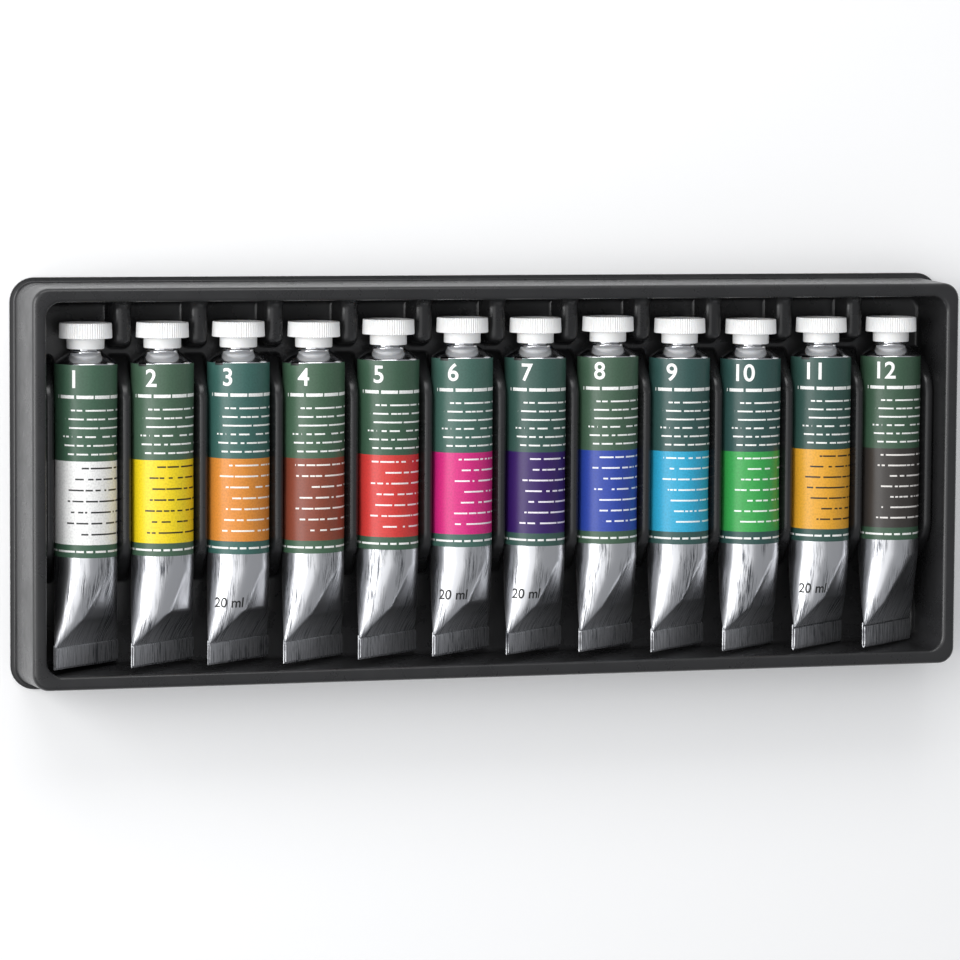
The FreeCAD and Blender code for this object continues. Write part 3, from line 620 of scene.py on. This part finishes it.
def brushedMetal(tree, look, wrap, along, number):
    # the streaks, the share of worn metal and the share of crushed metal
    shift = (look["tubeShift"][0] * number, look["tubeShift"][1] * number, 0)

    def stretched(scale):
        inputs = {"Vector": wrap, "Location": shift, "Scale": scale}
        return addNode(tree, "ShaderNodeMapping", inputs).outputs[0]

    streak = wrapNoise(tree, stretched(look["streakScale"]), 1.0, look["streakDetail"],
                       look["streakRoughness"])
    patch = wrapNoise(tree, stretched(look["patchScale"]), 1.0, look["patchDetail"])
    marks = mapRange(tree, streak, *look["streakRange"])
    crushed = mapRange(tree, along, *look["crushRange"], 0.0, look["crushWear"])
    most = calculate(tree, "MAXIMUM", mapRange(tree, patch, *look["patchRange"]), crushed)
    return streak, calculate(tree, "MULTIPLY", marks, most), crushed


def labelColour(tree, form, wrap, around, along, number):
    paint, green, ink, _, _ = tubeFinish[number - 1]
    share = calculate(tree, "DIVIDE", along, form["rampLength"])
    bands = addNode(tree, "ShaderNodeValToRGB", {"Fac": share})
    ramp = bands.color_ramp
    ramp.interpolation = "CONSTANT"
    ramp.elements[0].color = hexColour(green)
    ramp.elements[1].position = form["colourEnd"] / form["rampLength"]
    ramp.elements[1].color = hexColour(paint)
    ramp.elements.new(form["greenEnd"] / form["rampLength"]).color = hexColour(green)
    colour = bands.outputs["Color"]
    for key in ("title", "story", "strip"):
        lines = ruledLines(tree, around, along, ruleForm[key], ruleForm[key]["seed"])
        colour = mixColour(tree, lines, colour, hexColour(form["rule"]))
    rule = ruleForm["names"]
    names = ruledLines(tree, around, along, rule, rule["seed"] + rule["seedStep"] * number)
    colour = mixColour(tree, names, colour, hexColour(ink))
    dirt = wrapNoise(tree, wrap, form["dirtScale"], form["dirtDetail"])
    dirt = mapRange(tree, dirt, *form["dirtRange"], 0.0, form["dirtShare"])
    return mixColour(tree, dirt, colour, hexColour(form["dirt"]))


def printedTube(number, form, look):
    material, tree, shader = newMaterial("printedAluminium_%02d" % number)
    wrap = addNode(tree, "ShaderNodeUVMap", uv_map="wrap").outputs[0]
    parts = addNode(tree, "ShaderNodeSeparateXYZ", {"Vector": wrap})
    around, height = parts.outputs["X"], parts.outputs["Y"]
    along = calculate(tree, "MULTIPLY_ADD", around, tubeFinish[number - 1][4], height)
    middle = (form["top"] + form["bottom"]) / 2
    label = calculate(tree, "COMPARE", along, middle, form["top"] - middle)
    drawn = calculate(tree, "LESS_THAN", height, form["top"])
    streak, worn, crushed = brushedMetal(tree, look, wrap, height, number)
    worn = calculate(tree, "MULTIPLY", worn, drawn)

    metal = mixColour(tree, worn, hexColour(look["bright"]), hexColour(look["worn"]))
    surface = mixColour(tree, label, metal, labelColour(tree, form, wrap, around, along, number))
    if number in registerTubes:
        columns = calculate(tree, "COMPARE", around, form["markPlace"][0], form["markHalf"][0])
        rows = calculate(tree, "COMPARE", along, form["markPlace"][1], form["markHalf"][1])
        mark = calculate(tree, "MULTIPLY", rows, columns)
        surface = mixColour(tree, mark, surface, hexColour(form["mark"]))
    rough = mapRange(tree, worn, 0.0, 1.0, *look["rough"])
    rough = calculate(tree, "MULTIPLY_ADD", crushed, look["crushRough"], rough)
    rough = mixNumber(tree, drawn, look["shoulderRough"], rough)
    depth = mixNumber(tree, label, look["streakBump"], look["labelBump"])
    depth = calculate(tree, "MULTIPLY", depth, drawn)
    setInputs(tree, shader, {
        "Base Color": surface,
        "Metallic": calculate(tree, "SUBTRACT", 1.0, label),
        "Roughness": mixNumber(tree, label, rough, look["labelRough"]),
        "Normal": addBump(tree, streak, depth, look["bumpDepth"]),
    })
    return material


# print on the tubes: a plain place number, and the fill mark on some
printForm = {
    "number": {"size": 7.4, "place": (-5.5, 84.6)}, "fill": {"size": 4.2, "place": (-4.2, 17.6)},
    "lift": 0.06, "bold": 0.016, "cuts": 8, "cutPitch": 0.8,
}


def wrapText(words, number, layout, material, name):
    curve = bpy.data.curves.new(name, "FONT")
    curve.body = words
    curve.size = layout["size"]
    curve.offset = printForm["bold"] * layout["size"]
    curve.align_x = "CENTER"
    source = bpy.data.objects.new(name, curve)
    flat = bpy.data.meshes.new_from_object(source)
    bm = bmesh.new()
    bm.from_mesh(flat)
    bpy.data.objects.remove(source)
    bpy.data.curves.remove(curve)
    bpy.data.meshes.remove(flat)
    bmesh.ops.remove_doubles(bm, verts=bm.verts[:], dist=nearly)
    for step in range(-printForm["cuts"], printForm["cuts"] + 1):
        geom = bm.verts[:] + bm.edges[:] + bm.faces[:]
        place = (step * printForm["cutPitch"], 0, 0)
        bmesh.ops.bisect_plane(bm, geom=geom, dist=cutReach, plane_co=place, plane_no=(1, 0, 0))
    home = tubePlace(number)
    girth = 2 * math.pi * tubeForm["radius"]
    grow = 1 + printForm["lift"] / tubeForm["radius"]
    around, along = layout["place"]
    for v in bm.verts:
        spot = bodyPoint(tubeForm, number, (v.co.x + around) / girth, v.co.y + along)
        v.co = home + Vector((spot.x * grow, spot.y, spot.z * grow))
    return finishPiece(bm, name, material, "tube_%02d" % number, [])


# printing ink, cured on lacquer or metal: opaque, nearly flat, a little silk
inkLook = {"fleckSize": 0.0007, "fleckDetail": 3.0, "gloss": (0.3, 0.5)}


def printInk(name, code, look):
    material, tree, shader = newMaterial(name)
    fleck = objectNoise(tree, look["fleckSize"], look["fleckDetail"])
    setInputs(tree, shader, {
        "Base Color": hexColour(code),
        "Roughness": mapRange(tree, fleck, 0.0, 1.0, *look["gloss"]),
    })
    return material


def turnedForm(path, segments):
    # an outline of (radius, height) points, turned round the tube's axis
    bm = bmesh.new()
    verts = [bm.verts.new((r, y, 0)) for r, y in path]
    edges = [bm.edges.new(pair) for pair in zip(verts, verts[1:])]
    bmesh.ops.spin(bm, geom=verts + edges, cent=(0, 0, 0), axis=(0, 1, 0), dvec=(0, 0, 0),
                   angle=2 * math.pi, steps=segments, use_merge=True, use_duplicate=False)
    bmesh.ops.remove_doubles(bm, verts=bm.verts[:], dist=nearly)
    bmesh.ops.recalc_face_normals(bm, faces=bm.faces[:])
    return bm


# the screw caps, with a ribbed knob on a short skirt
capForm = {
    "foot": 95.7, "skirtRadius": 5.65, "skirtHeight": 3.2, "knobRadius": 8.0, "knobHeight": 4.65,
    "boreRadius": 4.6, "roof": 101.55, "dishRadius": 6.3, "dishDepth": 0.75, "segments": 264, "edge": 0.25,
    "ribs": 66, "ribDepth": 0.3, "ribShape": 1.5, "ribInset": 0.4, "ribFadeTop": 0.3, "ribFadeFoot": 0.2,
    "sharpAngle": 40,
}


def buildCap(number, form, material):
    foot, roof, edge = form["foot"], form["roof"], form["edge"]
    knob = foot + form["skirtHeight"]
    top = knob + form["knobHeight"]
    skirt, grip, bore = form["skirtRadius"], form["knobRadius"], form["boreRadius"]
    dish, dishFloor = form["dishRadius"], top - form["dishDepth"]
    inside = [(0, roof), (bore - 0.3, roof), (bore, roof - 0.3), (bore, foot + 0.3), (bore + 0.2, foot)]
    skirtSide = [(skirt - 0.25, foot), (skirt - 0.05, foot + 0.15), (skirt, foot + 0.4),
                 (skirt, knob - 0.35), (skirt + 0.12, knob - 0.12), (skirt + 0.4, knob)]
    knobSide = [(grip - edge, knob), (grip - 0.08, knob + 0.07), (grip, knob + edge),
                (grip - 0.05, knob + 1.5), (grip - 0.1, knob + 3), (grip - 0.15, top - 0.4),
                (grip - 0.22, top - 0.12), (grip - 0.4, top)]
    dishSide = [(dish + 0.25, top), (dish, top - 0.2), (dish - 0.15, dishFloor + 0.2),
                (dish - 0.5, dishFloor), (0, dishFloor + 0.12)]
    bm = turnedForm(inside + skirtSide + knobSide + dishSide, form["segments"])
    for v in bm.verts:
        radius = math.hypot(v.co.x, v.co.z)
        if radius > grip - form["ribInset"] and knob < v.co.y < top:
            turn = form["ribs"] * math.atan2(v.co.z, v.co.x)
            wave = (0.5 - 0.5 * math.cos(turn)) ** form["ribShape"]
            fade = clamp((top - v.co.y) / form["ribFadeTop"]) * clamp((v.co.y - knob) / form["ribFadeFoot"])
            shrink = 1 - form["ribDepth"] * wave * fade / radius
            v.co.x *= shrink
            v.co.z *= shrink
    bmesh.ops.translate(bm, vec=tubePlace(number), verts=bm.verts)
    node = "cap_%02d" % number
    return finishPiece(bm, "capShell_%02d" % number, material, node, [node],
                       form["sharpAngle"])


# white polypropylene, injection moulded: milky and slightly waxy, light seeps into the ribs
capLook = {
    "dark": "f3f3f1", "light": "fbfbfa", "hazeSize": 0.006, "hazeDetail": 2.0,
    "grainSize": 0.0009, "grainDetail": 3.0, "gloss": (0.32, 0.5), "bump": 0.1, "bumpDepth": 0.00005,
    "ior": 1.49, "seep": 0.25, "seepColour": (1.0, 0.9, 0.8), "seepDepth": 0.0008,
}


def mouldedCap(look):
    material, tree, shader = newMaterial("whitePolypropylene")
    grain = objectNoise(tree, look["grainSize"], look["grainDetail"])
    haze = objectNoise(tree, look["hazeSize"], look["hazeDetail"])
    setInputs(tree, shader, {
        "Base Color": mixColour(tree, haze, hexColour(look["dark"]), hexColour(look["light"])),
        "Roughness": mapRange(tree, grain, 0.0, 1.0, *look["gloss"]),
        "Normal": addBump(tree, grain, look["bump"], look["bumpDepth"]),
        "IOR": look["ior"],
        "Subsurface Weight": look["seep"],
        "Subsurface Radius": look["seepColour"],
        "Subsurface Scale": look["seepDepth"],
    })
    return material


# the paint in each tube
paintForm = {
    "radius": 8.8, "bottom": 29.4, "top": 91.2, "edge": 0.6,
    "neckRadius": 2.4, "neckTop": 99.6, "neckEdge": 0.4, "domeShare": 0.7, "domeDrop": 0.1, "segments": 48,
}


def buildPaint(number, form, material):
    radius, edge, neck = form["radius"], form["edge"], form["neckRadius"]
    bottom, top, neckTop = form["bottom"], form["top"], form["neckTop"]
    path = [(0, bottom), (radius - edge, bottom), (radius, bottom + edge), (radius, top - edge),
            (radius - edge, top), (neck, top), (neck, neckTop - form["neckEdge"]),
            (neck * form["domeShare"], neckTop - form["domeDrop"]), (0, neckTop)]
    bm = turnedForm(path, form["segments"])
    bmesh.ops.translate(bm, vec=tubePlace(number), verts=bm.verts)
    node = "paint_%02d" % number
    return finishPiece(bm, "paintFill_%02d" % number, material, "tube_%02d" % number, [node])


# tempera paint, thick and opaque: flat colour with a soft wet sheen and small lumps
paintLook = {
    "lumpSize": 0.0015, "lumpDetail": 3.0, "shade": 0.8, "bump": 0.3, "bumpDepth": 0.0003, "rough": 0.45,
}


def temperaPaint(number, look):
    material, tree, shader = newMaterial("temperaPaint_%02d" % number)
    lumps = objectNoise(tree, look["lumpSize"], look["lumpDetail"])
    colour = hexColour(tubeFinish[number - 1][0])
    darker = tuple(part * look["shade"] for part in colour[:3]) + (1.0,)
    setInputs(tree, shader, {
        "Base Color": mixColour(tree, lumps, darker, colour),
        "Normal": addBump(tree, lumps, look["bump"], look["bumpDepth"]),
        "Roughness": look["rough"],
    })
    return material


# soft polyethylene disc: translucent white, faintly scuffed where it meets the nozzle
sealLook = {
    "dark": "dedcd6", "light": "f1f0ec", "scuffSize": 0.0012, "scuffDetail": 4.0, "rough": 0.5,
    "seep": 0.3, "seepDepth": 0.0006,
}


def softSeal(look):
    material, tree, shader = newMaterial("softPolyethylene")
    scuff = objectNoise(tree, look["scuffSize"], look["scuffDetail"])
    setInputs(tree, shader, {
        "Base Color": mixColour(tree, scuff, hexColour(look["dark"]), hexColour(look["light"])),
        "Roughness": look["rough"],
        "Subsurface Weight": look["seep"],
        "Subsurface Scale": look["seepDepth"],
    })
    return material


places = [tubePlace(number) for number in range(1, tubeCount + 1)]
gaps = [(left.x + right.x) / 2 for left, right in zip(places, places[1:])]
buildTray(trayForm, gaps, formedSheet(sheetLook))
print("tray built")

capWhite = mouldedCap(capLook)
seal = softSeal(sealLook)
whiteInk = printInk("whiteInk", "f4f5f2", inkLook)
blackInk = printInk("blackInk", "1a1a1a", inkLook)
for number in range(1, tubeCount + 1):
    buildTube(number, tubeForm, printedTube(number, labelForm, metalLook))
    buildCap(number, capForm, capWhite)
    buildPaint(number, paintForm, temperaPaint(number, paintLook))
    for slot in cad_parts["cap_seal_%02d" % number].material_slots:
        slot.material = seal
    wrapText("%d" % number, number, printForm["number"], whiteInk, "placeNumber_%02d" % number)
    if number in markedTubes:
        wrapText("20 ml", number, printForm["fill"], blackInk, "fillMark_%02d" % number)
    print("tube", number, "built")


# floor, light and camera, in metres
stageForm = {
    "floorSize": 6.0, "floorDrop": 0.0002, "floorColour": "fafafa", "floorGlow": 0.04, "floorRough": 0.85,
    "worldColour": "f4f6fa", "worldStrength": 0.42, "aim": (0, 0, 0.01),
}
lightForm = {
    "keyLight": {"place": (-1.4, 0.3, 0.6), "size": (1.2, 1.2), "power": 20.5},
    "topLight": {"place": (-0.2, 1.1, 0.7), "size": (1.1, 0.5), "power": 6.0},
    "frontLight": {"place": (-1.1, -0.1, 2.1), "size": (2.4, 2.4), "power": 17.0},
}
viewForm = {
    "yaw": 16.6, "rise": 4.8, "roll": 0.36, "distance": 1.373, "target": (-0.00935, 0.00085, 0.025),
    "focalPixels": 4500, "photoWidth": 960, "sensorWidth": 36.0, "clip": (0.05, 20),
}


def buildStage(form):
    bm = bmesh.new()
    bmesh.ops.create_grid(bm, x_segments=2, y_segments=2, size=form["floorSize"] / 2)
    bmesh.ops.translate(bm, vec=(0, 0, -form["floorDrop"]), verts=bm.verts)
    mesh = bpy.data.meshes.new("floor")
    bm.to_mesh(mesh)
    bm.free()
    floor = bpy.data.objects.new("floor", mesh)
    bpy.context.scene.collection.objects.link(floor)
    material, tree, shader = newMaterial("paleFloor")
    setInputs(tree, shader, {
        "Base Color": hexColour(form["floorColour"]),
        "Emission Color": hexColour("ffffff"),
        "Emission Strength": form["floorGlow"],
        "Roughness": form["floorRough"],
    })
    mesh.materials.append(material)
    world = bpy.data.worlds.new("studio")
    world.use_nodes = True
    background = world.node_tree.nodes["Background"]
    setInputs(world.node_tree, background, {"Color": hexColour(form["worldColour"]),
                                            "Strength": form["worldStrength"]})
    bpy.context.scene.world = world
    bpy.context.scene.view_settings.view_transform = "Standard"  # colours as they are, with no film curve


def addSoftbox(name, form, aim):
    light = bpy.data.lights.new(name, "AREA")
    light.shape = "RECTANGLE"
    light.size, light.size_y = form["size"]
    light.energy = form["power"]
    box = bpy.data.objects.new(name, light)
    box.location = form["place"]
    box.visible_camera = False
    box.rotation_euler = (Vector(aim) - Vector(form["place"])).to_track_quat("-Z", "Y").to_euler()
    bpy.context.scene.collection.objects.link(box)


def addCamera(form):
    yaw, rise, roll = (math.radians(form[key]) for key in ("yaw", "rise", "roll"))
    back = Vector((-math.sin(yaw) * math.cos(rise), math.sin(rise), math.cos(yaw) * math.cos(rise)))
    right = Vector((0, 1, 0)).cross(back).normalized()
    up = back.cross(right)
    turnedRight = math.cos(roll) * right + math.sin(roll) * up
    turnedUp = -math.sin(roll) * right + math.cos(roll) * up
    pose = Matrix((turnedRight, turnedUp, back)).transposed().to_4x4()
    pose.translation = Vector(form["target"]) + back * form["distance"]
    lens = bpy.data.cameras.new("camera")
    lens.sensor_fit = "HORIZONTAL"
    lens.sensor_width = form["sensorWidth"]
    lens.lens = form["focalPixels"] * form["sensorWidth"] / form["photoWidth"]
    lens.clip_start, lens.clip_end = form["clip"]
    camera = bpy.data.objects.new("camera", lens)
    camera.matrix_world = pose
    bpy.context.scene.collection.objects.link(camera)
    bpy.context.scene.camera = camera


buildStage(stageForm)
for name, form in lightForm.items():
    addSoftbox(name, form, stageForm["aim"])
addCamera(viewForm)
print("stage, light and camera set")
